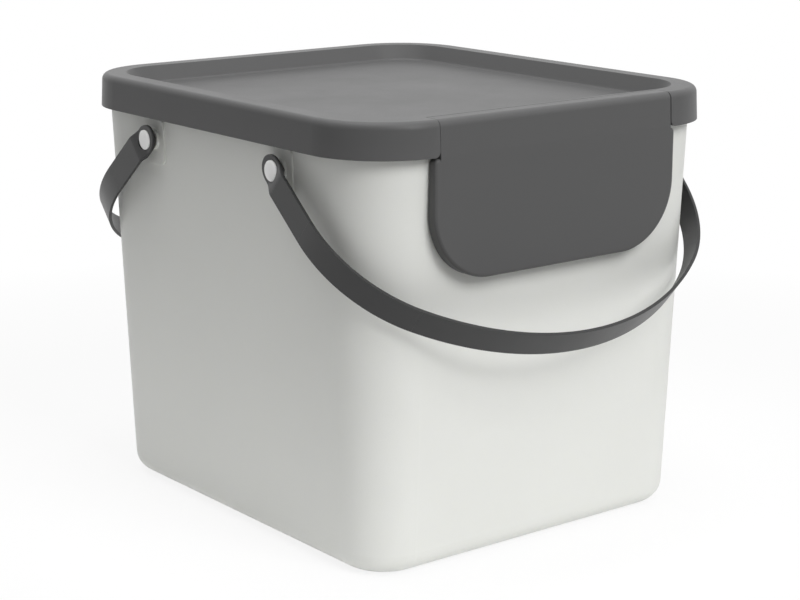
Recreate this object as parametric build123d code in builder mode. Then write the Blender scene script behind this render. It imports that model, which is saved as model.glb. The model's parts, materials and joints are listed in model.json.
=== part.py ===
from build123d import *
import os
from math import atan2, cos, degrees, radians, sin, sqrt, tan

# Recycling bin: tapered tub, lift-off lid with a dished top, hinged front flap, two swinging strap handles.
# Origin at the centre of the footprint on the floor, +Z up, the flap side towards -Y, X across the width.

# Tub
tub_height = 333.5
tub_base_half_x = 157.1
tub_base_half_y = 179.3
tub_lean = 2.25
tub_base_corner = 38.0
tub_wall = 2.5
tub_floor = 2.6
tub_base_edge = 17.0
foot_recess = 2.0
foot_band = 9.0
rim_reach = 3.2
rim_depth = 4.5
rim_gusset = 3.0

# Lid, set over the tub's rim
rim_room_x = 3.17
rim_room_y = 2.02
lid_rise = 6.5
lid_height = 26.3
lid_corner = 63.0
lid_draft = 1.3
lid_wall = 2.4
lid_edge = 5.5
rim_band_x = 19.5
rim_band_y = 20.0
dish_corner = 46.0
dish_depth = 13.0
dish_slope_run = 8.5
dish_floor_edge = 3.5
dish_rib_depth = 3.0
dish_rib_thickness = 1.8
dish_rib_pitch_x = 75.0
dish_rib_pitch_y = 86.0
seat_rib_thickness = 1.8
seat_rib_length = 11.0
seat_rib_pitch = 52.0
end_web = 4.5
end_corner = 4.5

# Flap, hung from pins in the ends of the lid's rim
flap_top_half_x = 112.9
flap_shoulder = 4.7
flap_height = 118.2
flap_corner = 52.0
flap_shoulder_corner = 3.2
flap_wall = 2.2
flap_face_set_back = 0.3
flap_edge = 2.4
flap_rib_height = 2.0
flap_rib_thickness = 1.6
flap_rib_pitch = 48.0
hinge_set_back = 8.5
hinge_drop = 5.5
hinge_lip = 8.0
hinge_pin_radius = 2.0
hinge_pin_length = 3.6
hinge_room = 0.8
lip_turn_angle = 25.0
flap_step = 0.7
flap_return_rise = 2.0
end_web_rise = 3.2

# Throw-in opening behind the flap, and the collar round it
mouth_inset = 16.6
mouth_step = 18.2
mouth_corner = 38.0
collar_wall = 2.2
collar_reach = 3.0
shoulder_reach = 10.1

# Handles
pivot_set_back = 112.5
pivot_drop = 17.9
hang_angle = 40.3
strap_width = 22.5
strap_thickness = 2.4
leg_length = 57.0
shoulder_radius = 112.0
shoulder_turn = 54.55
eye_stand_off = 4.6
eye_thickness = 3.2
eye_ring_height = 0.8
eye_ring_wall = 2.1
crank_start = 8.2

# Pivot buttons and the pads that carry them
button_shank_radius = 4.5
button_rim_thickness = 1.9
button_dome = 1.9
button_barb_reach = 1.2
button_barb_length = 2.2
button_tail = 1.6
button_slot = 1.6
pad_width = 27.0
pad_drop = 1.7
pad_below_pivot = 19.8
pad_proud = 1.2
pad_corner = 5.0
boss_radius = 8.2

# Clearances
fit_gap = 0.3
seam_gap = 0.5
pin_gap = 0.08
button_gap = 0.35
flap_tub_gap = 1.4
strap_lid_gap = 1.3


def tub_x(z):
    return tub_base_half_x + tan(radians(tub_lean)) * z


def tub_y(z):
    return tub_base_half_y + tan(radians(tub_lean)) * z


def tub_r(z):
    return tub_base_corner + tan(radians(tub_lean)) * z


# Places that follow from the sizes
lid_top = tub_height + lid_rise
lid_skirt_bottom = lid_top - lid_height
lid_half_x = tub_x(tub_height) + rim_reach + rim_room_x + lid_wall
lid_half_y = tub_y(tub_height) + rim_reach + rim_room_y + lid_wall
lid_taper = degrees(atan2(lid_draft, lid_height))
dish_half_x = lid_half_x - rim_band_x
dish_half_y = lid_half_y - rim_band_y
dish_bottom = lid_top - dish_depth
dish_taper = degrees(atan2(dish_slope_run, dish_depth))
flap_half_x = flap_top_half_x + flap_shoulder
flap_bottom = lid_top - flap_height
hinge_y = lid_half_y - hinge_set_back
hinge_z = lid_top - hinge_drop
flap_lip_rear = hinge_y - hinge_lip
barrel_radius = sqrt(hinge_lip**2 + hinge_drop**2)
mouth_half_x = flap_half_x - mouth_inset
mouth_bottom = flap_bottom + mouth_step
shoulder_z = hinge_z - barrel_radius - hinge_room
shoulder_half_x = flap_top_half_x + shoulder_reach
pivot_y = lid_half_y - pivot_set_back
pivot_z = lid_skirt_bottom - pivot_drop
pad_top = lid_skirt_bottom - pad_drop
pad_bottom = pivot_z - pad_below_pivot
eye_inner_x = tub_x(pivot_z) + eye_stand_off

# Tub hollow
floor_z = foot_recess + tub_floor
with BuildPart() as tub_hollow:
    with BuildSketch(Plane.XY.offset(floor_z)):
        RectangleRounded(
            2 * (tub_x(floor_z) - tub_wall), 2 * (tub_y(floor_z) - tub_wall), tub_r(floor_z) - tub_wall
        )
    extrude(amount=tub_height - floor_z, taper=-tub_lean)
    fillet(tub_hollow.faces().sort_by(Axis.Z)[0].edges(), tub_base_edge - tub_wall)

# Round spacer faces and pads carry the handle eyes on the side walls
pad_face_x = tub_x(pad_top) + pad_proud
boss_face_x = eye_inner_x - fit_gap
pad_root_x = tub_x(pad_bottom) - tub_wall / 2
pad_mid_z = (pad_top + pad_bottom) / 2
rim_z = tub_height - rim_depth
rim_spread = degrees(atan2(rim_reach, rim_gusset))

with BuildPart() as tub_outer:
    with BuildSketch(Plane.XY):
        RectangleRounded(2 * tub_x(0), 2 * tub_y(0), tub_r(0))
    extrude(amount=tub_height, taper=-tub_lean)
    fillet(tub_outer.faces().sort_by(Axis.Z)[0].edges(), tub_base_edge)

# Collar round the throw-in opening, turned inwards so that the flap can rise past it
collar_back_y = tub_y(mouth_bottom) - tub_wall - collar_reach
with BuildPart() as collar:
    with BuildSketch(Plane.XZ.offset(collar_back_y)):
        with Locations((0, mouth_bottom - collar_wall)):
            RectangleRounded(
                2 * (mouth_half_x + collar_wall),
                2 * (shoulder_z - mouth_bottom + collar_wall),
                mouth_corner + collar_wall,
                align=(Align.CENTER, Align.MIN),
            )
    extrude(amount=tub_y(tub_height) - collar_back_y)
    add(tub_outer.part, mode=Mode.INTERSECT)

with BuildPart() as tub:
    add(tub_outer.part)
    # Outward rim at the top with a sloping gusset below it
    with BuildSketch(Plane.XY.offset(rim_z - rim_gusset)):
        RectangleRounded(2 * tub_x(rim_z), 2 * tub_y(rim_z), tub_r(rim_z))
    extrude(amount=rim_gusset, taper=-rim_spread)
    with BuildSketch(Plane.XY.offset(rim_z)):
        RectangleRounded(
            2 * (tub_x(rim_z) + rim_reach), 2 * (tub_y(rim_z) + rim_reach), tub_r(rim_z) + rim_reach
        )
    extrude(amount=rim_depth)
    # Pads and spacer bosses of the handles
    with BuildSketch(Plane.YZ.offset(pad_root_x)):
        with Locations((pivot_y, pad_mid_z), (-pivot_y, pad_mid_z)):
            RectangleRounded(pad_width, pad_top - pad_bottom, pad_corner)
    extrude(amount=pad_face_x - pad_root_x)
    with BuildSketch(Plane.YZ.offset(pad_root_x)):
        with Locations((pivot_y, pivot_z), (-pivot_y, pivot_z)):
            Circle(boss_radius)
    extrude(amount=boss_face_x - pad_root_x)
    with BuildSketch(Plane.YZ.offset(-pad_root_x)):
        with Locations((pivot_y, pad_mid_z), (-pivot_y, pad_mid_z)):
            RectangleRounded(pad_width, pad_top - pad_bottom, pad_corner)
    extrude(amount=pad_root_x - pad_face_x)
    with BuildSketch(Plane.YZ.offset(-pad_root_x)):
        with Locations((pivot_y, pivot_z), (-pivot_y, pivot_z)):
            Circle(boss_radius)
    extrude(amount=pad_root_x - boss_face_x)
    add(tub_hollow.part, mode=Mode.SUBTRACT)
    add(collar.part)
    with BuildSketch(Plane.XZ.offset(tub_y(0) - 4 * tub_wall)):
        with Locations((0, mouth_bottom)):
            RectangleRounded(
                2 * mouth_half_x,
                2 * (tub_height - mouth_bottom),
                mouth_corner,
                align=(Align.CENTER, Align.MIN),
            )
    extrude(amount=tub_y(tub_height) - tub_y(0) + 5 * tub_wall + rim_reach, mode=Mode.SUBTRACT)
    # The rim and wall stop lower behind the flap and its hinges
    with BuildSketch(Plane.XZ.offset(tub_y(0) - 4 * tub_wall)):
        with Locations((0, shoulder_z)):
            Rectangle(2 * shoulder_half_x, 2 * (tub_height - shoulder_z), align=(Align.CENTER, Align.MIN))
    extrude(amount=tub_y(tub_height) - tub_y(0) + 5 * tub_wall + rim_reach, mode=Mode.SUBTRACT)
    # Foot recess under the base
    with BuildSketch(Plane.XY):
        RectangleRounded(
            2 * (tub_x(0) - tub_base_edge - foot_band),
            2 * (tub_y(0) - tub_base_edge - foot_band),
            tub_r(0) - foot_band,
        )
    extrude(amount=foot_recess, mode=Mode.SUBTRACT)
    # Holes of the pivot buttons
    with BuildSketch(Plane.YZ.offset(-boss_face_x - fit_gap)):
        with Locations((pivot_y, pivot_z), (-pivot_y, pivot_z)):
            Circle(button_shank_radius + pin_gap)
    extrude(amount=2 * (boss_face_x + fit_gap), mode=Mode.SUBTRACT)
tub.part.label = "tub"

# Lid: the outer body, the hollow under its rim, and the dish with the shell below it
with BuildPart() as lid_cavity:
    with BuildSketch(Plane.XY.offset(lid_skirt_bottom)):
        RectangleRounded(2 * (lid_half_x - lid_wall), 2 * (lid_half_y - lid_wall), lid_corner - lid_wall)
    extrude(amount=lid_height - lid_wall, taper=lid_taper)
    fillet(lid_cavity.faces().sort_by(Axis.Z)[-1].edges(), lid_edge - lid_wall)

with BuildPart() as dish_shell:
    with BuildSketch(Plane.XY.offset(lid_top - lid_wall)):
        RectangleRounded(
            2 * (dish_half_x + lid_wall / 2), 2 * (dish_half_y + lid_wall / 2), dish_corner + lid_wall / 2
        )
    extrude(amount=-dish_depth, taper=dish_taper)

with BuildPart() as dish:
    with BuildSketch(Plane.XY.offset(lid_top)):
        RectangleRounded(2 * dish_half_x, 2 * dish_half_y, dish_corner)
    extrude(amount=-dish_depth, taper=dish_taper)
    fillet(dish.faces().sort_by(Axis.Z)[0].edges(), dish_floor_edge)

with BuildPart() as lid_outer:
    with BuildSketch(Plane.XY.offset(lid_skirt_bottom)):
        RectangleRounded(2 * lid_half_x, 2 * lid_half_y, lid_corner)
    extrude(amount=lid_height, taper=lid_taper)
    fillet(lid_outer.faces().sort_by(Axis.Z)[-1].edges(), lid_edge)

# End webs close the rim beside the flap and carry its hinge sockets
window_half_x = flap_top_half_x + seam_gap
web_low_z = shoulder_z + end_web_rise
web_front_y = tub_y(tub_height) + rim_reach
with BuildPart() as end_webs:
    with BuildSketch(Plane.YZ.offset(window_half_x)):
        with BuildLine():
            Polyline(
                (-lid_half_y, lid_skirt_bottom),
                (-web_front_y, lid_skirt_bottom),
                (-web_front_y, web_low_z),
                (-dish_half_y + lid_wall, web_low_z),
                (-dish_half_y + lid_wall, lid_top),
                (-lid_half_y, lid_top),
                close=True,
            )
        make_face()
    extrude(amount=end_web)
    mirror(about=Plane.YZ)
    add(lid_outer.part, mode=Mode.INTERSECT)

# Seat ribs, dish, ribs under the dish, the flap's window and its hinge sockets
seat_z = tub_height + fit_gap
channel_half_x = (tub_x(tub_height) + tub_x(tub_height) - tub_wall) / 2
channel_half_y = (tub_y(tub_height) + tub_y(tub_height) - tub_wall) / 2
side_ribs = range(-2, 3)
with BuildPart() as lid:
    add(lid_outer.part)
    add(lid_cavity.part, mode=Mode.SUBTRACT)
    # Seat ribs in the rim channel stand on the tub's rim
    with BuildSketch(Plane.XY.offset(seat_z)):
        with Locations(*[(s * channel_half_x, i * seat_rib_pitch) for s in (-1, 1) for i in side_ribs]):
            Rectangle(seat_rib_length, seat_rib_thickness)
        with Locations(*[(i * seat_rib_pitch, channel_half_y) for i in side_ribs]):
            Rectangle(seat_rib_thickness, seat_rib_length)
    extrude(amount=lid_top - lid_wall / 2 - seat_z)
    add(dish_shell.part)
    # Crossed stiffening ribs under the dish
    with BuildSketch(Plane.XY.offset(dish_bottom - lid_wall / 2)):
        with Locations(*[(i * dish_rib_pitch_x, 0) for i in (-1, 0, 1)]):
            Rectangle(dish_rib_thickness, 2 * (dish_half_y - dish_slope_run - dish_corner / 2))
        with Locations(*[(0, i * dish_rib_pitch_y) for i in (-1, 0, 1)]):
            Rectangle(2 * (dish_half_x - dish_slope_run - dish_corner / 2), dish_rib_thickness)
    extrude(amount=-dish_rib_depth - lid_wall / 2)
    # Window of the flap
    with BuildSketch(Plane.YZ.offset(-window_half_x)):
        with BuildLine():
            Polyline(
                (-lid_half_y - lid_wall, lid_skirt_bottom - lid_wall),
                (-hinge_y + barrel_radius + seam_gap, lid_skirt_bottom - lid_wall),
                (-hinge_y + barrel_radius + seam_gap, hinge_z),
                (-hinge_y, hinge_z),
                (-hinge_y, lid_top + lid_wall),
                (-lid_half_y - lid_wall, lid_top + lid_wall),
                close=True,
            )
        make_face()
        with Locations((-hinge_y, hinge_z)):
            Circle(barrel_radius + seam_gap)
    extrude(amount=2 * window_half_x, mode=Mode.SUBTRACT)
    add(end_webs.part)
    add(dish.part, mode=Mode.SUBTRACT)
    # Rounded lower corners of the rim ends
    with BuildSketch(Plane.XZ.offset(web_front_y)):
        with Locations(
            (window_half_x + end_corner / 2, lid_skirt_bottom + end_corner / 2),
            (-window_half_x - end_corner / 2, lid_skirt_bottom + end_corner / 2),
        ):
            Rectangle(end_corner, end_corner)
        with Locations(
            (window_half_x + end_corner, lid_skirt_bottom + end_corner),
            (-window_half_x - end_corner, lid_skirt_bottom + end_corner),
        ):
            Circle(end_corner, mode=Mode.SUBTRACT)
    extrude(amount=lid_half_y, mode=Mode.SUBTRACT)
    # Hinge sockets
    with BuildSketch(Plane.YZ.offset(-window_half_x - hinge_pin_length)):
        with Locations((-hinge_y, hinge_z)):
            Circle(hinge_pin_radius + pin_gap)
    extrude(amount=2 * (window_half_x + hinge_pin_length), mode=Mode.SUBTRACT)
lid.part.label = "lid"

# Flap: its side view and its front view meet in one shell
face_y = lid_half_y - flap_face_set_back
lip_turn_y = hinge_y - barrel_radius * cos(radians(lip_turn_angle))
lip_turn_z = hinge_z - barrel_radius * sin(radians(lip_turn_angle))
return_top_z = shoulder_z + flap_return_rise
with BuildPart() as flap_side_view:
    with BuildSketch(Plane.YZ.offset(-flap_half_x)):
        with BuildLine():
            Polyline(
                (-lip_turn_y, lip_turn_z),
                (-tub_y(return_top_z) - flap_tub_gap, lip_turn_z),
                (-tub_y(return_top_z) - flap_tub_gap, return_top_z),
                (-tub_y(flap_bottom) - flap_tub_gap, flap_bottom),
                (-face_y, flap_bottom),
                (-face_y, lid_skirt_bottom),
                (-face_y + lid_draft, lid_top),
                (-flap_lip_rear, lid_top),
            )
            RadiusArc((-flap_lip_rear, lid_top), (-lip_turn_y, lip_turn_z), barrel_radius)
        make_face()
    extrude(amount=2 * flap_half_x)
    fillet(
        flap_side_view.edges().filter_by(Axis.X).group_by(Axis.Z)[-1].sort_by(Axis.Y)[0], lid_edge
    )

flap_step_z = lid_skirt_bottom - seam_gap - flap_step
with BuildPart() as flap_front_view:
    with BuildSketch(Plane.XZ.offset(flap_lip_rear - lid_edge)) as flap_outline:
        with BuildLine():
            FilletPolyline(
                (-flap_half_x, flap_step_z),
                (-flap_half_x, flap_bottom),
                (flap_half_x, flap_bottom),
                (flap_half_x, flap_step_z),
                radius=flap_corner,
            )
            Line((flap_half_x, flap_step_z), (-flap_half_x, flap_step_z))
        make_face()
        fillet(flap_outline.vertices().group_by(Axis.Y)[-1], flap_shoulder_corner)
        with Locations((0, flap_step_z - flap_shoulder_corner)):
            Rectangle(
                2 * flap_top_half_x,
                lid_top - flap_step_z + 2 * flap_shoulder_corner,
                align=(Align.CENTER, Align.MIN),
            )
    extrude(amount=lid_half_y)

with BuildPart() as flap_hollow:
    with BuildSketch(Plane.YZ.offset(-flap_half_x)):
        with BuildLine():
            Polyline(
                (-lip_turn_y - flap_wall, lip_turn_z - flap_wall),
                (-tub_y(0) + lid_wall, lip_turn_z - flap_wall),
                (-tub_y(0) + lid_wall, flap_bottom - flap_wall),
                (-face_y + flap_wall, flap_bottom - flap_wall),
                (-face_y + flap_wall, lid_skirt_bottom - flap_wall),
                (-face_y + lid_draft + flap_wall, lid_top - flap_wall),
                (-flap_lip_rear - flap_wall, lid_top - flap_wall),
                close=True,
            )
        make_face()
    extrude(amount=2 * flap_half_x)
    fillet(
        flap_hollow.edges().filter_by(Axis.X).group_by(Axis.Z)[-1].sort_by(Axis.Y)[0],
        lid_edge - flap_wall,
    )
    with BuildSketch(Plane.XZ.offset(flap_lip_rear - 2 * lid_edge)):
        with BuildLine():
            FilletPolyline(
                (-flap_half_x + flap_wall, flap_step_z - flap_wall),
                (-flap_half_x + flap_wall, flap_bottom + flap_wall),
                (flap_half_x - flap_wall, flap_bottom + flap_wall),
                (flap_half_x - flap_wall, flap_step_z - flap_wall),
                radius=flap_corner - flap_wall,
            )
            Line(
                (flap_half_x - flap_wall, flap_step_z - flap_wall),
                (-flap_half_x + flap_wall, flap_step_z - flap_wall),
            )
        make_face()
        with Locations((0, flap_step_z - 2 * flap_wall)):
            Rectangle(
                2 * (flap_top_half_x - flap_wall),
                lid_top - flap_step_z + flap_wall,
                align=(Align.CENTER, Align.MIN),
            )
    extrude(amount=lid_half_y, mode=Mode.INTERSECT)

with BuildPart() as flap:
    add(flap_side_view.part)
    add(flap_front_view.part, mode=Mode.INTERSECT)
    front_edges = flap.faces().filter_by(Axis.Y).sort_by(Axis.Y)[0].edges()
    fillet(front_edges.filter_by(lambda e: e.center().Z < flap_step_z + flap_step / 2), flap_edge)
    add(flap_hollow.part, mode=Mode.SUBTRACT)
    # Upright ribs behind the face
    with BuildSketch(Plane.XZ.offset(face_y - flap_wall / 2)):
        with Locations(*[(i * flap_rib_pitch, flap_bottom + flap_wall / 2) for i in (-1.5, -0.5, 0.5, 1.5)]):
            Rectangle(
                flap_rib_thickness,
                lid_skirt_bottom - flap_bottom - flap_wall,
                align=(Align.CENTER, Align.MIN),
            )
    extrude(amount=-flap_rib_height - flap_wall / 2)
    # Hinge pins
    with BuildSketch(Plane.YZ.offset(flap_top_half_x - flap_wall / 2)):
        with Locations((-hinge_y, hinge_z)):
            Circle(hinge_pin_radius)
    extrude(amount=flap_wall / 2 + hinge_pin_length)
    with BuildSketch(Plane.YZ.offset(-flap_top_half_x + flap_wall / 2)):
        with Locations((-hinge_y, hinge_z)):
            Circle(hinge_pin_radius)
    extrude(amount=-flap_wall / 2 - hinge_pin_length)
flap.part.label = "flap"

# Handle: a flat strap bent to a wide bow in the plane it hangs in, cranked out past the lid beside each eye.
# Its eyes, straight legs, shoulders and grip meet face to face.
leg_inner_x = lid_half_x + strap_lid_gap
leg_outer_x = leg_inner_x + strap_thickness
eye_outer_x = eye_inner_x + eye_thickness
eye_radius = strap_width / 2
sweep_room = pivot_drop - fit_gap
crank_end = sqrt(sweep_room**2 - eye_radius**2)
turn = radians(shoulder_turn)
half = strap_thickness / 2
bow_centre_x = leg_inner_x + half - shoulder_radius
bow_radius = (bow_centre_x + shoulder_radius * cos(turn)) / cos(turn)
hang = radians(hang_angle)
bail = Plane(origin=(0, -pivot_y, pivot_z), x_dir=(1, 0, 0), z_dir=(0, sin(hang), -cos(hang)))
recess_floor_x = eye_inner_x + eye_thickness / 2
head_radius = eye_radius - eye_ring_wall - button_gap

with BuildPart() as front_handle_leg_right:
    with BuildSketch(bail):
        with Locations((leg_inner_x + half, crank_end)):
            Rectangle(strap_thickness, leg_length - crank_end, align=(Align.CENTER, Align.MIN))
    extrude(amount=eye_radius, both=True)

with BuildPart() as front_handle_shoulder_right:
    with BuildSketch(bail):
        with BuildLine():
            outer_turn = JernArc(
                start=(leg_outer_x, leg_length),
                tangent=(0, 1),
                radius=shoulder_radius + half,
                arc_size=shoulder_turn,
            )
            inner_turn = JernArc(
                start=(leg_inner_x, leg_length),
                tangent=(0, 1),
                radius=shoulder_radius - half,
                arc_size=shoulder_turn,
            )
            Line(outer_turn @ 0, inner_turn @ 0)
            Line(outer_turn @ 1, inner_turn @ 1)
        make_face()
    extrude(amount=eye_radius, both=True)

grip_edge_x = bow_radius * cos(turn)
grip_edge_r = leg_length + shoulder_radius * sin(turn)
grip_reach = grip_edge_r + bow_radius * (1 - sin(turn))
with BuildPart() as front_handle_grip:
    with BuildSketch(bail):
        with BuildLine():
            outer_bow = ThreePointArc(
                (grip_edge_x + half * cos(turn), grip_edge_r + half * sin(turn)),
                (0, grip_reach + half),
                (-grip_edge_x - half * cos(turn), grip_edge_r + half * sin(turn)),
            )
            inner_bow = ThreePointArc(
                (grip_edge_x - half * cos(turn), grip_edge_r - half * sin(turn)),
                (0, grip_reach - half),
                (-grip_edge_x + half * cos(turn), grip_edge_r - half * sin(turn)),
            )
            Line(outer_bow @ 0, inner_bow @ 0)
            Line(outer_bow @ 1, inner_bow @ 1)
        make_face()
    extrude(amount=eye_radius, both=True)
front_handle_grip.part.label = "front_handle_grip"

with BuildPart() as front_handle_eye_right:
    with BuildSketch(bail):
        with BuildLine():
            Polyline(
                (leg_inner_x, crank_end),
                (eye_inner_x, crank_start),
                (eye_inner_x, 0),
                (eye_outer_x, 0),
                (eye_outer_x, crank_start - half),
                (leg_outer_x, crank_end - half),
                (leg_outer_x, crank_end),
                close=True,
            )
        make_face()
    extrude(amount=eye_radius, both=True)
    # Round plate with a raised ring
    with BuildSketch(Plane.YZ.offset(eye_inner_x)):
        with Locations((-pivot_y, pivot_z)):
            Circle(eye_radius)
    extrude(amount=eye_thickness + eye_ring_height)
    # Recess of the button head and the pivot hole
    with BuildSketch(Plane.YZ.offset(recess_floor_x)):
        with Locations((-pivot_y, pivot_z)):
            Circle(eye_radius - eye_ring_wall)
    extrude(amount=leg_outer_x - eye_inner_x, mode=Mode.SUBTRACT)
    with BuildSketch(Plane.YZ.offset(eye_inner_x - fit_gap)):
        with Locations((-pivot_y, pivot_z)):
            Circle(button_shank_radius + pin_gap)
    extrude(amount=eye_thickness, mode=Mode.SUBTRACT)

# Pivot button: domed head in the eye, shank through the wall and a split barb behind it
head_x = recess_floor_x + fit_gap
head_edge_x = head_x + button_rim_thickness
wall_inner_x = tub_x(pivot_z - button_shank_radius - button_barb_reach) - tub_wall
barb_x = wall_inner_x - fit_gap
tail_x = barb_x - button_barb_length - button_tail
dome_radius = (head_radius**2 + button_dome**2) / (2 * button_dome)
with BuildPart() as pivot_button_front_right:
    with BuildSketch(Plane(origin=(0, -pivot_y, pivot_z), x_dir=(1, 0, 0), z_dir=(0, -1, 0))):
        with BuildLine():
            Polyline(
                (head_edge_x + button_dome, 0),
                (tail_x, 0),
                (tail_x, button_shank_radius - button_tail / 2),
                (barb_x - button_barb_length, button_shank_radius),
                (barb_x, button_shank_radius + button_barb_reach),
                (barb_x, button_shank_radius),
                (head_x, button_shank_radius),
                (head_x, head_radius),
                (head_edge_x, head_radius),
            )
            RadiusArc((head_edge_x, head_radius), (head_edge_x + button_dome, 0), dome_radius)
        make_face()
    revolve(axis=Axis((0, -pivot_y, pivot_z), (1, 0, 0)))
    with BuildSketch(Plane.YZ.offset(tail_x - fit_gap)):
        with Locations((-pivot_y, pivot_z)):
            Rectangle(button_slot, 2 * boss_radius)
    extrude(amount=barb_x - tail_x + fit_gap, mode=Mode.SUBTRACT)

# Save the single pieces, then the pieces that repeat to the left and to the rear
os.makedirs("parts", exist_ok=True)
with BuildPart() as rear_handle_grip:
    mirror(front_handle_grip.part, about=Plane.XZ)
rear_handle_grip.part.label = "rear_handle_grip"
export_step(tub.part, "parts/tub.step")
export_step(lid.part, "parts/lid.step")
export_step(flap.part, "parts/flap.step")
export_step(front_handle_grip.part, "parts/front_handle_grip.step")
export_step(rear_handle_grip.part, "parts/rear_handle_grip.step")

for start, finish, piece in (
    ("", "handle_eye", front_handle_eye_right),
    ("", "handle_leg", front_handle_leg_right),
    ("", "handle_shoulder", front_handle_shoulder_right),
    ("pivot_button_", "", pivot_button_front_right),
):
    with BuildPart() as front_left:
        mirror(piece.part, about=Plane.YZ)
    with BuildPart() as rear_right:
        mirror(piece.part, about=Plane.XZ)
    with BuildPart() as rear_left:
        mirror(front_left.part, about=Plane.XZ)
    for end, side, copy in (
        ("front", "right", piece),
        ("front", "left", front_left),
        ("rear", "right", rear_right),
        ("rear", "left", rear_left),
    ):
        words = [start + end, finish, side] if finish else [start + end, side]
        copy.part.label = "_".join(words)
        export_step(copy.part, "parts/" + copy.part.label + ".step")
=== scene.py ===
import json
import math

import bmesh
import bpy
from bpy.props import FloatProperty, FloatVectorProperty, PointerProperty
from mathutils import Matrix, Vector


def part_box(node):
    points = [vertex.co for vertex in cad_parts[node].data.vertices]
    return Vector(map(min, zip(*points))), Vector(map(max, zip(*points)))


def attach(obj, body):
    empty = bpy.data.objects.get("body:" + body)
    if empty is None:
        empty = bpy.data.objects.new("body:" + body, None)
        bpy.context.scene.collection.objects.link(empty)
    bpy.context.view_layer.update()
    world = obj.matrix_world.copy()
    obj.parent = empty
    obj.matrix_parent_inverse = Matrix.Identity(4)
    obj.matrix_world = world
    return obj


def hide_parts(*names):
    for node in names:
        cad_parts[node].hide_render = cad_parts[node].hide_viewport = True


bl_info = {
    "name": "Recycling bin finishes",
    "version": (1, 0, 0),
    "blender": (4, 5, 0),
    "location": "View3D > Sidebar > Bin",
    "description": "Plastic finishes, strap ends, buttons, studio and camera for a lidded recycling bin",
    "category": "Material",
}

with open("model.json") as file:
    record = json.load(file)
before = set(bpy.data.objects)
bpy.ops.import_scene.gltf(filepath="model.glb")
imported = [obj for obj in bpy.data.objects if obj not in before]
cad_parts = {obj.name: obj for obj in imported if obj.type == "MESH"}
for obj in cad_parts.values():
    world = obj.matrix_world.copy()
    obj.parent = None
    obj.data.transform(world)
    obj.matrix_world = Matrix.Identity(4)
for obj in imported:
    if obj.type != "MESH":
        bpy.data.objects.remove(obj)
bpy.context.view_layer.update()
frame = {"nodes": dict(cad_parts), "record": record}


# Shader helpers

WHITE = (1.0, 1.0, 1.0, 1.0)
MIX_COLOUR_A = 6
MIX_COLOUR_B = 7
MIX_COLOUR_RESULT = 2


def new_group(name, inputs, outputs):
    """An empty shader node group with named sockets."""
    group = bpy.data.node_groups.new(name, "ShaderNodeTree")
    for label, kind, default in inputs:
        socket = group.interface.new_socket(name=label, in_out="INPUT", socket_type=kind)
        socket.default_value = default
    for label, kind in outputs:
        group.interface.new_socket(name=label, in_out="OUTPUT", socket_type=kind)
    source = group.nodes.new("NodeGroupInput")
    source.location = (-900, 0)
    sink = group.nodes.new("NodeGroupOutput")
    sink.location = (900, 0)
    return group, source, sink


def add_node(tree, kind, place, **values):
    """A node at a place in the tree, with its settings and input values."""
    node = tree.nodes.new(kind)
    node.location = place
    for key, value in values.items():
        if key in node.inputs:
            node.inputs[key].default_value = value
        else:
            setattr(node, key, value)
    return node


def maths(tree, operation, place, first, second, clamp=False):
    """A Math node fed by sockets or plain numbers."""
    node = add_node(tree, "ShaderNodeMath", place, operation=operation, use_clamp=clamp)
    for slot, value in zip(node.inputs, (first, second)):
        if isinstance(value, bpy.types.NodeSocket):
            tree.links.new(value, slot)
        else:
            slot.default_value = value
    return node.outputs[0]


def remap(tree, place, value, start, end, low=0.0, high=1.0):
    """A Map Range node: low at start, high at end and held outside them."""
    node = add_node(tree, "ShaderNodeMapRange", place)
    node.inputs["From Min"].default_value = start
    node.inputs["From Max"].default_value = end
    node.inputs["To Min"].default_value = low
    node.inputs["To Max"].default_value = high
    tree.links.new(value, node.inputs["Value"])
    return node.outputs["Result"]


def noise(tree, place, coords, size, detail, roughness):
    """Noise in object space, with clumps of about the given size."""
    left, height = place
    scale = maths(tree, "DIVIDE", (left - 200, height - 50), 1.0, size)
    node = add_node(tree, "ShaderNodeTexNoise", place, Detail=detail, Roughness=roughness)
    tree.links.new(coords.outputs["Object"], node.inputs["Vector"])
    tree.links.new(scale, node.inputs["Scale"])
    return node.outputs["Fac"]


# Shared effects

SPECK_SCALE = 260.0
SPECK_CORE = 0.04
SPECK_EDGE = 0.12
FLAT_POINTINESS = 0.52
SHARP_POINTINESS = 0.6


def moulded_grain():
    """Spark-eroded grain of a mould: fine height, with a mask that varies from patch to patch."""
    name = "Moulded grain"
    if name in bpy.data.node_groups:
        return bpy.data.node_groups[name]
    group, source, sink = new_group(
        name,
        [
            ("Grain size", "NodeSocketFloat", 0.0006),
            ("Patch size", "NodeSocketFloat", 0.05),
            ("Waviness", "NodeSocketFloat", 0.35),
        ],
        [("Height", "NodeSocketFloat"), ("Patches", "NodeSocketFloat")],
    )
    coords = add_node(group, "ShaderNodeTexCoord", (-900, 300))
    fine = noise(group, (-400, 250), coords, source.outputs["Grain size"], 3.0, 0.65)
    patches = noise(group, (-400, -50), coords, source.outputs["Patch size"], 4.0, 0.55)
    wave = maths(group, "MULTIPLY", (-100, -50), patches, source.outputs["Waviness"])
    height = maths(group, "ADD", (200, 150), fine, wave)
    group.links.new(height, sink.inputs["Height"])
    group.links.new(patches, sink.inputs["Patches"])
    return group


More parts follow.
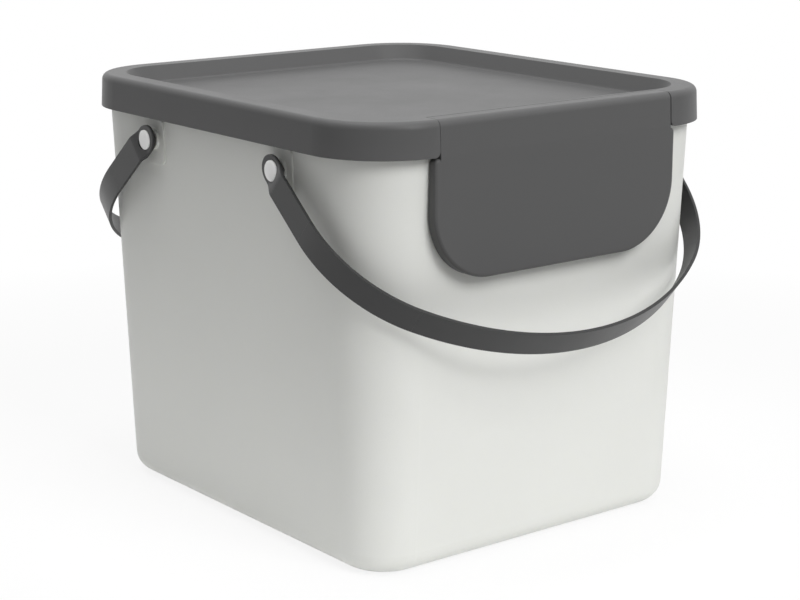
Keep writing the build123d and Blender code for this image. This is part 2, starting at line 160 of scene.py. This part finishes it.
def resin_tone():
    """Slight shade changes of a coloured resin: slow clouds, a few darker specks and a worn tone."""
    name = "Resin tone"
    if name in bpy.data.node_groups:
        return bpy.data.node_groups[name]
    group, source, sink = new_group(
        name,
        [
            ("Colour", "NodeSocketColor", (0.5, 0.5, 0.5, 1.0)),
            ("Worn colour", "NodeSocketColor", (0.6, 0.6, 0.6, 1.0)),
            ("Cloud size", "NodeSocketFloat", 0.12),
            ("Cloud strength", "NodeSocketFloat", 0.05),
            ("Speck strength", "NodeSocketFloat", 0.04),
            ("Wear", "NodeSocketFloat", 0.0),
        ],
        [("Colour", "NodeSocketColor")],
    )
    links = group.links
    coords = add_node(group, "ShaderNodeTexCoord", (-900, 400))
    clouds = noise(group, (-500, 300), coords, source.outputs["Cloud size"], 2.0, 0.5)
    centred = maths(group, "SUBTRACT", (-300, 300), clouds, 0.5)
    swing = maths(group, "MULTIPLY", (-150, 300), centred, source.outputs["Cloud strength"])
    specks = add_node(group, "ShaderNodeTexVoronoi", (-500, -50), Scale=SPECK_SCALE, Randomness=1.0)
    links.new(coords.outputs["Object"], specks.inputs["Vector"])
    distance = specks.outputs["Distance"]
    dots = remap(group, (-300, -50), distance, SPECK_CORE, SPECK_EDGE, low=1.0, high=0.0)
    speck_dark = maths(group, "MULTIPLY", (-100, -50), dots, source.outputs["Speck strength"])
    gain = maths(group, "ADD", (50, 200), swing, 1.0)
    gain = maths(group, "SUBTRACT", (200, 200), gain, speck_dark)
    worn = add_node(group, "ShaderNodeMix", (200, 0), data_type="RGBA")
    links.new(source.outputs["Wear"], worn.inputs["Factor"])
    links.new(source.outputs["Colour"], worn.inputs[MIX_COLOUR_A])
    links.new(source.outputs["Worn colour"], worn.inputs[MIX_COLOUR_B])
    shaded = add_node(group, "ShaderNodeVectorMath", (500, 100), operation="SCALE")
    links.new(worn.outputs[MIX_COLOUR_RESULT], shaded.inputs[0])
    links.new(gain, shaded.inputs["Scale"])
    links.new(shaded.outputs[0], sink.inputs["Colour"])
    return group


def rubbed_edges():
    """Where hands and shelves rub: convex edges broken up by noise."""
    name = "Rubbed edges"
    if name in bpy.data.node_groups:
        return bpy.data.node_groups[name]
    group, source, sink = new_group(
        name,
        [("Amount", "NodeSocketFloat", 0.3), ("Break-up size", "NodeSocketFloat", 0.01)],
        [("Mask", "NodeSocketFloat")],
    )
    shape = add_node(group, "ShaderNodeNewGeometry", (-900, 300))
    pointed = shape.outputs["Pointiness"]
    convex = remap(group, (-650, 300), pointed, FLAT_POINTINESS, SHARP_POINTINESS)
    coords = add_node(group, "ShaderNodeTexCoord", (-900, -100))
    broken = noise(group, (-400, -100), coords, source.outputs["Break-up size"], 5.0, 0.6)
    rubbed = maths(group, "MULTIPLY", (-100, 100), convex, broken)
    mask = maths(group, "MULTIPLY", (150, 100), rubbed, source.outputs["Amount"], clamp=True)
    group.links.new(mask, sink.inputs["Mask"])
    return group


# Moulded plastic

PLASTIC_IOR = 1.49
BEVEL_SAMPLES = 4


def moulded_plastic(name, colour, worn_share, patch, grain, rough, swing, bump, wear, edge, sockets):
    """A moulded plastic: resin tone, edge rub, grain bump, softened edges and roughness in patches."""
    material = bpy.data.materials.new(name)
    material.use_nodes = True
    tree = material.node_tree
    tree.nodes.clear()
    output = add_node(tree, "ShaderNodeOutputMaterial", (700, 0))
    plastic = add_node(tree, "ShaderNodeBsdfPrincipled", (400, 0), Metallic=0.0, IOR=PLASTIC_IOR)
    for label, value in sockets.items():
        plastic.inputs[label].default_value = value
    rub = add_node(tree, "ShaderNodeGroup", (-700, 300), node_tree=rubbed_edges())
    rub.inputs["Amount"].default_value = wear
    tone = add_node(tree, "ShaderNodeGroup", (-400, 200), node_tree=resin_tone())
    tone.inputs["Colour"].default_value = (*colour, 1.0)
    tone.inputs["Worn colour"].default_value = (*(worn_share * part for part in colour), 1.0)
    tree.links.new(rub.outputs["Mask"], tone.inputs["Wear"])
    skin = add_node(tree, "ShaderNodeGroup", (-400, -200), node_tree=moulded_grain())
    skin.inputs["Grain size"].default_value = grain
    skin.inputs["Patch size"].default_value = patch
    patches = maths(tree, "MULTIPLY", (-150, -50), skin.outputs["Patches"], swing)
    roughness = maths(tree, "ADD", (50, -50), patches, rough - swing / 2)
    softened = add_node(tree, "ShaderNodeBevel", (-150, -500), samples=BEVEL_SAMPLES, Radius=edge)
    relief = add_node(tree, "ShaderNodeBump", (100, -300), Strength=1.0, Distance=bump)
    tree.links.new(softened.outputs["Normal"], relief.inputs["Normal"])
    tree.links.new(skin.outputs["Height"], relief.inputs["Height"])
    tree.links.new(tone.outputs["Colour"], plastic.inputs["Base Color"])
    tree.links.new(roughness, plastic.inputs["Roughness"])
    tree.links.new(relief.outputs["Normal"], plastic.inputs["Normal"])
    tree.links.new(plastic.outputs[0], output.inputs[0])
    return material


def dress(node, material):
    """Gives a CAD piece its finish."""
    for slot in frame["nodes"][node].material_slots:
        slot.material = material


# Strap ends and pivot buttons stand for the eyes and pins of the frame. Sizes are in metres.

HANG_ANGLE = math.radians(40.3)
STRAP_HALF_WIDTH = 0.01125
STRAP_THICKNESS = 0.0024
TIP_REACH = 0.0126
SWEEP_ROOM = 0.0176
EYE_FACE_SET_BACK = 0.0032
RECESS_DEPTH = 0.0015
HUB_RADIUS = 0.0068
OUTER_RISE_START = 0.002
INNER_RISE_START = 0.0086
EDGE_ROUND = 0.0005
EDGE_FADE = 0.004
LEG_END_STEPS = 10
STRAIGHT_STEPS = 14
TIP_STEPS = 36
FACE_SHARES = (0.0, 0.33, 0.66, 1.0)

HEAD_RADIUS = 0.0079
HEAD_GAP = 0.0003
HEAD_DOME = 0.0014
HEAD_PROUD = 0.0003
SHANK_RADIUS = 0.0045
SHANK_GAP = 0.0001
BARB_REACH = 0.0012
BARB_LENGTH = 0.0022
TAIL_LENGTH = 0.0016
SLOT_WIDTH = 0.0016
DOME_ANGLES = range(10, 90, 10)
TURN_STEPS = 64

CREASE_ANGLE = math.radians(35)


def ramp(start, end, value):
    """0 before start, 1 after end and straight between."""
    return min(max((value - start) / (end - start), 0.0), 1.0)


def smooth_step(start, end, value):
    """0 before start, 1 after end and a soft S between."""
    share = ramp(start, end, value)
    return share * share * (3.0 - 2.0 * share)


def ring_mesh(name, rings, closed):
    """A piece skinned over rings of points that all have the same count."""
    count = len(rings[0])
    corners = [point for ring in rings for point in ring]
    faces = []
    last = len(rings) if closed else len(rings) - 1
    for row in range(last):
        above = (row + 1) % len(rings)
        for column in range(count):
            beside = (column + 1) % count
            faces.append(
                (row * count + column, row * count + beside, above * count + beside, above * count + column)
            )
    if not closed:
        faces.append(tuple(range(count)))
        faces.append(tuple(range((len(rings) - 1) * count, len(rings) * count)))
    mesh = bpy.data.meshes.new(name)
    mesh.from_pydata(corners, [], faces)
    shape = bmesh.new()
    shape.from_mesh(mesh)
    bmesh.ops.recalc_face_normals(shape, faces=shape.faces)
    shape.to_mesh(mesh)
    shape.free()
    mesh.polygons.foreach_set("use_smooth", [True] * len(mesh.polygons))
    mesh.set_sharp_from_angle(angle=CREASE_ANGLE)
    piece = bpy.data.objects.new(name, mesh)
    bpy.context.scene.collection.objects.link(piece)
    return piece


def pivot_of(end):
    """Where a handle turns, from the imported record."""
    for joint in frame["record"]["behaviour"]["joints"]:
        if joint["name"] == end + "_handle_pivot":
            return Vector(joint["pos_m"])
    raise LookupError("no joint for the " + end + " handle")


def eye_levels(end):
    """A strap eye's inner face, the leg's outer face and the recess floor, measured from the middle."""
    low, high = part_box(end + "_handle_eye_right")
    return low[0], high[0], high[0] - EYE_FACE_SET_BACK - RECESS_DEPTH


def strap_outline(reach):
    """The strap end seen from the side: square where it meets the leg, round at the tip."""
    half = STRAP_HALF_WIDTH
    outline = [(reach, half * (2 * step / LEG_END_STEPS - 1.0)) for step in range(LEG_END_STEPS)]
    outline += [(reach * (1.0 - step / STRAIGHT_STEPS), half) for step in range(STRAIGHT_STEPS)]
    for step in range(TIP_STEPS):
        turn = math.pi * step / TIP_STEPS
        outline.append((-TIP_REACH * math.sin(turn), half * math.cos(turn)))
    outline += [(reach * step / STRAIGHT_STEPS, -half) for step in range(STRAIGHT_STEPS)]
    return outline


def strap_end(end, side):
    """The strap's rounded end: an eye with a recess, a hub behind it and a soft bend out to the leg."""
    pivot = pivot_of(end)
    inner, outer, floor = eye_levels(end)
    face = -1.0 if end == "front" else 1.0
    out = 1.0 if side == "right" else -1.0
    along = Vector((0.0, face * math.cos(HANG_ANGLE), -math.sin(HANG_ANGLE)))
    across = Vector((0.0, face * math.sin(HANG_ANGLE), math.cos(HANG_ANGLE)))
    reach = math.sqrt(SWEEP_ROOM**2 - STRAP_HALF_WIDTH**2)
    outline = strap_outline(reach)

    def place(spot, level):
        return pivot + along * spot[0] + across * spot[1] + Vector((out * level, 0.0, 0.0))

    def outer_level(spot):
        rise = smooth_step(OUTER_RISE_START, reach, spot[0])
        return outer - EYE_FACE_SET_BACK * (1.0 - rise)

    def inner_level(spot):
        rise = smooth_step(INNER_RISE_START, reach, spot[0])
        return outer - STRAP_THICKNESS - EYE_FACE_SET_BACK * (1.0 - rise)

    def edge_cut(spot):
        return EDGE_ROUND * ramp(0.0, EDGE_FADE, reach - spot[0])

    def shrunk(radius):
        return [tuple(part * radius / math.hypot(*spot) for part in spot) for spot in outline]

    def between(first, second, share):
        return [
            tuple(a + (b - a) * share for a, b in zip(one, other)) for one, other in zip(first, second)
        ]

    def flat_ring(spots, level):
        return [place(spot, level) for spot in spots]

    def bent_ring(spots, level_at):
        return [place(spot, level_at(spot)) for spot in spots]

    hole = shrunk(SHANK_RADIUS + SHANK_GAP)
    hub = shrunk(HUB_RADIUS)
    recess = shrunk(HEAD_RADIUS + HEAD_GAP)
    inset = []
    for spot in outline:
        scale = 1.0 - edge_cut(spot) / math.hypot(*spot)
        inset.append((spot[0] * scale, spot[1] * scale))
    rings = [flat_ring(hole, inner), flat_ring(hole, floor), flat_ring(recess, floor)]
    rings += [bent_ring(between(recess, inset, share), outer_level) for share in FACE_SHARES]
    rings.append(bent_ring(outline, lambda spot: outer_level(spot) - edge_cut(spot)))
    rings += [bent_ring(between(hub, outline, share), inner_level) for share in reversed(FACE_SHARES)]
    rings.append(flat_ring(hub, inner))
    piece = ring_mesh(end + "_strap_end_" + side, rings, closed=True)
    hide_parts(end + "_handle_eye_" + side)
    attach(piece, end + "_handle")
    return piece


def cut_slot(piece, middle, lengths):
    """Cuts a box-shaped slot into a piece."""
    mesh = bpy.data.meshes.new("slot_cutter")
    shape = bmesh.new()
    bmesh.ops.create_cube(shape, size=1.0)
    spread = Matrix.Diagonal((*lengths, 1.0))
    bmesh.ops.transform(shape, matrix=Matrix.Translation(middle) @ spread, verts=shape.verts)
    shape.to_mesh(mesh)
    shape.free()
    cutter = bpy.data.objects.new("slot_cutter", mesh)
    bpy.context.scene.collection.objects.link(cutter)
    slot = piece.modifiers.new("slot", "BOOLEAN")
    slot.operation = "DIFFERENCE"
    slot.solver = "EXACT"
    slot.object = cutter
    bpy.context.view_layer.update()
    cut = bpy.data.meshes.new_from_object(piece.evaluated_get(bpy.context.evaluated_depsgraph_get()))
    piece.modifiers.clear()
    piece.data = cut
    bpy.data.objects.remove(cutter)


def pivot_button(end, side):
    """A turned button: domed head in the strap's recess, shank through the wall and a slotted barb."""
    pivot = pivot_of(end)
    outer, floor = eye_levels(end)[1:]
    out = 1.0 if side == "right" else -1.0
    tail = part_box("pivot_button_" + end + "_right")[0][0]
    barb = tail + TAIL_LENGTH + BARB_LENGTH
    head_edge = outer - EYE_FACE_SET_BACK + HEAD_PROUD
    profile = [
        (tail, SHANK_RADIUS - TAIL_LENGTH / 2),
        (tail + TAIL_LENGTH, SHANK_RADIUS),
        (barb, SHANK_RADIUS + BARB_REACH),
        (barb, SHANK_RADIUS),
        (floor + HEAD_GAP, SHANK_RADIUS),
        (floor + HEAD_GAP, HEAD_RADIUS),
        (head_edge - EDGE_ROUND, HEAD_RADIUS),
    ]
    for angle in DOME_ANGLES:
        turn = math.radians(angle)
        profile.append((head_edge + HEAD_DOME * math.sin(turn), HEAD_RADIUS * math.cos(turn)))
    rings = []
    for level, radius in profile:
        ring = []
        for step in range(TURN_STEPS):
            turn = 2 * math.pi * step / TURN_STEPS
            spot = Vector((out * level, radius * math.cos(turn), radius * math.sin(turn)))
            ring.append(pivot + spot)
        rings.append(ring)
    piece = ring_mesh("pivot_button_head_" + end + "_" + side, rings, closed=False)
    middle = pivot + Vector((out * (tail + barb - TAIL_LENGTH) / 2, 0.0, 0.0))
    cut_slot(piece, middle, (barb - tail + TAIL_LENGTH, SLOT_WIDTH, 4 * SHANK_RADIUS))
    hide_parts("pivot_button_" + end + "_" + side)
    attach(piece, "tub")
    return piece


# Sizes and colours that a user would change


class BinFinish(bpy.types.PropertyGroup):
    """Colours and surface of the moulded pieces"""

    tub_colour: FloatVectorProperty(
        name="Tub colour",
        description="Off-white of the tub",
        subtype="COLOR",
        size=3,
        min=0.0,
        max=1.0,
        default=(0.83, 0.838, 0.8),
    )
    tub_roughness: FloatProperty(
        name="Tub roughness", description="Satin of the tub", default=0.46, min=0.0, max=1.0
    )
    lid_colour: FloatVectorProperty(
        name="Lid colour",
        description="Dark grey of the lid and flap",
        subtype="COLOR",
        size=3,
        min=0.0,
        max=1.0,
        default=(0.098, 0.098, 0.0985),
    )
    lid_roughness: FloatProperty(
        name="Lid roughness", description="Satin of the lid and flap", default=0.42, min=0.0, max=1.0
    )
    strap_colour: FloatVectorProperty(
        name="Strap colour",
        description="Dark grey of the handles",
        subtype="COLOR",
        size=3,
        min=0.0,
        max=1.0,
        default=(0.028, 0.0282, 0.0285),
    )
    strap_roughness: FloatProperty(
        name="Strap roughness", description="Satin of the handles", default=0.38, min=0.0, max=1.0
    )
    button_colour: FloatVectorProperty(
        name="Button colour",
        description="White of the pivot buttons",
        subtype="COLOR",
        size=3,
        min=0.0,
        max=1.0,
        default=(0.96, 0.96, 0.95),
    )
    button_roughness: FloatProperty(
        name="Button roughness", description="Soft gloss of the buttons", default=0.26, min=0.0, max=1.0
    )
    grain_size: FloatProperty(
        name="Grain size",
        description="Size of the mould's grain",
        default=0.0007,
        min=0.0001,
        subtype="DISTANCE",
        unit="LENGTH",
    )
    edge_wear: FloatProperty(
        name="Edge wear", description="How much the edges are rubbed", default=0.25, min=0.0, max=1.0
    )


class BinStudio(bpy.types.PropertyGroup):
    """Light and camera"""

    sky_strength: FloatProperty(
        name="Sky strength", description="Even light from all round", default=0.52, min=0.0
    )
    key_power: FloatProperty(
        name="Key power",
        description="Large softbox in front of the flap and above it",
        default=39.0,
        unit="POWER",
    )
    top_power: FloatProperty(
        name="Top power", description="Large softbox overhead", default=28.5, unit="POWER"
    )
    floor_colour: FloatVectorProperty(
        name="Floor colour",
        description="Pale floor",
        subtype="COLOR",
        size=3,
        min=0.0,
        max=1.0,
        default=(0.94, 0.94, 0.94),
    )
    camera_place: FloatVectorProperty(
        name="Camera place",
        description="Where the camera stands",
        subtype="TRANSLATION",
        unit="LENGTH",
        size=3,
        default=(-0.994097, -1.277051, 0.554462),
    )
    camera_yaw: FloatProperty(
        name="Camera yaw",
        description="Turn away from straight on to the flap",
        subtype="ANGLE",
        unit="ROTATION",
        default=0.66283,
    )
    camera_pitch: FloatProperty(
        name="Camera pitch",
        description="Tilt, down is negative",
        subtype="ANGLE",
        unit="ROTATION",
        default=-0.241494,
    )
    lens: FloatProperty(name="Lens", description="Focal length in millimetres", default=91.14, min=1.0)


# Pieces


class BIN_OT_tub(bpy.types.Operator):
    """Finish the tub in off-white satin plastic"""

    bl_idname = "bin.tub"
    bl_label = "Tub"

    def execute(self, context):
        finish = context.scene.bin_finish
        material = moulded_plastic(
            "tub_white_plastic",
            colour=tuple(finish.tub_colour),
            worn_share=0.94,
            patch=0.06,
            grain=finish.grain_size,
            rough=finish.tub_roughness,
            swing=0.14,
            bump=0.00006,
            wear=finish.edge_wear,
            edge=0.0006,
            sockets={
                "Specular IOR Level": 0.5,
                "Subsurface Weight": 0.12,
                "Subsurface Radius": (0.006, 0.006, 0.005),
                "Subsurface Scale": 1.0,
            },
        )
        dress("tub", material)
        return {"FINISHED"}


class BIN_OT_lid(bpy.types.Operator):
    """Finish the lid and its flap in dark grey satin plastic"""

    bl_idname = "bin.lid"
    bl_label = "Lid and flap"

    def execute(self, context):
        finish = context.scene.bin_finish
        for node, patch in (("lid", 0.07), ("flap", 0.05)):
            material = moulded_plastic(
                node + "_grey_plastic",
                colour=tuple(finish.lid_colour),
                worn_share=1.5,
                patch=patch,
                grain=finish.grain_size,
                rough=finish.lid_roughness,
                swing=0.16,
                bump=0.00007,
                wear=finish.edge_wear,
                edge=0.0007,
                sockets={"Specular IOR Level": 0.21},
            )
            dress(node, material)
        return {"FINISHED"}


class BIN_OT_handles(bpy.types.Operator):
    """Finish the two strap handles in smooth dark plastic and shape their ends"""

    bl_idname = "bin.handles"
    bl_label = "Handles"

    def execute(self, context):
        finish = context.scene.bin_finish
        material = moulded_plastic(
            "strap_grey_plastic",
            colour=tuple(finish.strap_colour),
            worn_share=1.6,
            patch=0.03,
            grain=finish.grain_size,
            rough=finish.strap_roughness,
            swing=0.12,
            bump=0.00004,
            wear=finish.edge_wear,
            edge=0.0006,
            sockets={"Specular IOR Level": 0.42},
        )
        for end in ("front", "rear"):
            dress(end + "_handle_grip", material)
            for side in ("left", "right"):
                strap_end(end, side).data.materials.append(material)
                for part in ("eye", "leg", "shoulder"):
                    dress(end + "_handle_" + part + "_" + side, material)
        return {"FINISHED"}


class BIN_OT_buttons(bpy.types.Operator):
    """Shape the four pivot buttons and finish them in glossy white plastic"""

    bl_idname = "bin.buttons"
    bl_label = "Pivot buttons"

    def execute(self, context):
        finish = context.scene.bin_finish
        material = moulded_plastic(
            "button_white_plastic",
            colour=tuple(finish.button_colour),
            worn_share=0.93,
            patch=0.008,
            grain=finish.grain_size,
            rough=finish.button_roughness,
            swing=0.08,
            bump=0.00002,
            wear=0.15,
            edge=0.0004,
            sockets={"Specular IOR Level": 0.9, "Coat Weight": 0.7, "Coat Roughness": 0.12},
        )
        for end in ("front", "rear"):
            for side in ("left", "right"):
                dress("pivot_button_" + end + "_" + side, material)
                pivot_button(end, side).data.materials.append(material)
        return {"FINISHED"}


# Studio. The floor shows white to the eye, and the light that it throws back fades with distance.

FLOOR_GLOW = 0.85
FLOOR_FAR_GLOW = 1.0
FLOOR_NEAR = 0.3
FLOOR_FAR = 0.9
FLOOR_FAR_SHARE = 0.29
FLOOR_REACH = 6.0
HORIZON_SHARE = 0.15
SENSOR_WIDTH = 36.0
LENS_SHIFT = 0.00546
KEY_PLACE = (0.1, -2.1, 1.9)
KEY_AIM = (0.0, 0.0, 0.18)
KEY_SIZE = 1.2
TOP_PLACE = (-0.1, 0.1, 2.3)
TOP_AIM = (0.0, 0.0, 0.3)
TOP_SIZE = 1.8


def background_rays(tree, place):
    """1 for the rays that show the plain background: those of the eye, of gloss and of clear pieces."""
    left, height = place
    path = add_node(tree, "ShaderNodeLightPath", place)
    eye = path.outputs["Is Camera Ray"]
    gloss = path.outputs["Is Glossy Ray"]
    clear = path.outputs["Is Transmission Ray"]
    seen = maths(tree, "MAXIMUM", (left + 200, height), eye, gloss)
    return maths(tree, "MAXIMUM", (left + 350, height), seen, clear)


def blend(tree, share, first, second, output):
    """Mixes two shaders by a share and sends them out."""
    mixed = add_node(tree, "ShaderNodeMixShader", (300, 0))
    tree.links.new(share, mixed.inputs[0])
    tree.links.new(first.outputs[0], mixed.inputs[1])
    tree.links.new(second.outputs[0], mixed.inputs[2])
    tree.links.new(mixed.outputs[0], output.inputs[0])


def hang_sky(strength):
    """A sky that is dim at the horizon and strongest overhead, and plain white where it is seen."""
    world = bpy.data.worlds.new("studio_sky")
    bpy.context.scene.world = world
    world.use_nodes = True
    tree = world.node_tree
    tree.nodes.clear()
    output = add_node(tree, "ShaderNodeOutputWorld", (600, 0))
    coords = add_node(tree, "ShaderNodeTexCoord", (-1000, -200))
    split = add_node(tree, "ShaderNodeSeparateXYZ", (-800, -200))
    tree.links.new(coords.outputs["Generated"], split.inputs[0])
    rise = split.outputs["Z"]
    grade = remap(tree, (-600, -200), rise, 0.0, 1.0, low=HORIZON_SHARE * strength, high=strength)
    even = add_node(tree, "ShaderNodeBackground", (0, -100), Color=WHITE)
    tree.links.new(grade, even.inputs["Strength"])
    plain = add_node(tree, "ShaderNodeBackground", (0, 100), Color=WHITE)
    blend(tree, background_rays(tree, (-600, 200)), even, plain, output)


def floor_paper(colour):
    """Pale paper that shows white where it is seen and keeps the bin's shadow near the middle."""
    paper = bpy.data.materials.new("floor_paper")
    paper.use_nodes = True
    tree = paper.node_tree
    tree.nodes.clear()
    output = add_node(tree, "ShaderNodeOutputMaterial", (700, 0))
    shape = add_node(tree, "ShaderNodeNewGeometry", (-1100, 0))
    distance = add_node(tree, "ShaderNodeVectorMath", (-900, 0), operation="LENGTH")
    tree.links.new(shape.outputs["Position"], distance.inputs[0])
    far = remap(tree, (-700, 0), distance.outputs["Value"], FLOOR_NEAR, FLOOR_FAR)
    fade = maths(tree, "MULTIPLY", (-500, -150), far, 1.0 - FLOOR_FAR_SHARE)
    fade = maths(tree, "SUBTRACT", (-350, -150), 1.0, fade)
    faded = add_node(tree, "ShaderNodeVectorMath", (-200, -50), operation="SCALE")
    faded.inputs[0].default_value = colour
    tree.links.new(fade, faded.inputs["Scale"])
    diffuse = add_node(tree, "ShaderNodeBsdfDiffuse", (0, 100))
    tree.links.new(faded.outputs[0], diffuse.inputs["Color"])
    glow = add_node(tree, "ShaderNodeEmission", (0, -100), Color=WHITE, Strength=1.0)
    share = maths(tree, "MULTIPLY", (-450, 150), far, FLOOR_FAR_GLOW - FLOOR_GLOW)
    share = maths(tree, "ADD", (-300, 150), share, FLOOR_GLOW)
    share = maths(tree, "MULTIPLY", (-50, 300), background_rays(tree, (-600, 400)), share)
    blend(tree, share, diffuse, glow, output)
    return paper


def lay_floor(colour):
    """A wide flat floor under the bin."""
    mesh = bpy.data.meshes.new("floor")
    corners = [(x * FLOOR_REACH, y * FLOOR_REACH, 0) for x, y in ((-1, -1), (1, -1), (1, 1), (-1, 1))]
    mesh.from_pydata(corners, [], [(0, 1, 2, 3)])
    floor = bpy.data.objects.new("floor", mesh)
    bpy.context.scene.collection.objects.link(floor)
    mesh.materials.append(floor_paper(colour))


def softbox(name, place, target, size, power):
    """A square area lamp turned to a point."""
    data = bpy.data.lights.new(name, "AREA")
    data.shape = "SQUARE"
    data.size = size
    data.energy = power
    lamp = bpy.data.objects.new(name, data)
    lamp.visible_camera = False
    lamp.location = place
    lamp.rotation_euler = (Vector(target) - Vector(place)).to_track_quat("-Z", "Y").to_euler()
    bpy.context.scene.collection.objects.link(lamp)
    return lamp


def stand_camera(place, yaw, pitch, focal_length):
    """The camera of the photograph."""
    ahead = Vector((math.sin(yaw) * math.cos(pitch), math.cos(yaw) * math.cos(pitch), math.sin(pitch)))
    right = ahead.cross(Vector((0, 0, 1))).normalized()
    above = right.cross(ahead)
    turn = Matrix((right, above, -ahead)).transposed().to_4x4()
    lens = bpy.data.cameras.new("camera")
    lens.lens = focal_length
    lens.sensor_width = SENSOR_WIDTH
    lens.shift_x = LENS_SHIFT
    camera = bpy.data.objects.new("camera", lens)
    camera.matrix_world = Matrix.Translation(Vector(place)) @ turn
    bpy.context.scene.collection.objects.link(camera)
    bpy.context.scene.camera = camera


class BIN_OT_studio(bpy.types.Operator):
    """Set up the floor, the soft light and the camera"""

    bl_idname = "bin.studio"
    bl_label = "Studio"

    def execute(self, context):
        studio = context.scene.bin_studio
        context.scene.view_settings.view_transform = "Standard"
        hang_sky(studio.sky_strength)
        lay_floor(tuple(studio.floor_colour))
        softbox("key_softbox", KEY_PLACE, KEY_AIM, KEY_SIZE, studio.key_power)
        softbox("top_softbox", TOP_PLACE, TOP_AIM, TOP_SIZE, studio.top_power)
        stand_camera(studio.camera_place, studio.camera_yaw, studio.camera_pitch, studio.lens)
        return {"FINISHED"}


class BIN_PT_finishes(bpy.types.Panel):
    """Lists the finishes and the studio"""

    bl_idname = "BIN_PT_finishes"
    bl_label = "Recycling bin"
    bl_space_type = "VIEW_3D"
    bl_region_type = "UI"
    bl_category = "Bin"

    def draw(self, context):
        layout = self.layout
        for group in (context.scene.bin_finish, context.scene.bin_studio):
            column = layout.column(align=True)
            for key in group.bl_rna.properties.keys():
                if key not in {"rna_type", "name"}:
                    column.prop(group, key)
        for operator in STEPS:
            layout.operator(operator.bl_idname)


STEPS = (BIN_OT_studio, BIN_OT_tub, BIN_OT_lid, BIN_OT_handles, BIN_OT_buttons)
CLASSES = (BinFinish, BinStudio, *STEPS, BIN_PT_finishes)


def register():
    for entry in CLASSES:
        bpy.utils.register_class(entry)
    bpy.types.Scene.bin_finish = PointerProperty(type=BinFinish)
    bpy.types.Scene.bin_studio = PointerProperty(type=BinStudio)


def unregister():
    del bpy.types.Scene.bin_studio
    del bpy.types.Scene.bin_finish
    for entry in reversed(CLASSES):
        bpy.utils.unregister_class(entry)


def main():
    """Runs every step in order."""
    register()
    bpy.ops.bin.studio()
    bpy.ops.bin.tub()
    bpy.ops.bin.lid()
    bpy.ops.bin.handles()
    bpy.ops.bin.buttons()


if __name__ == "__main__":
    main()
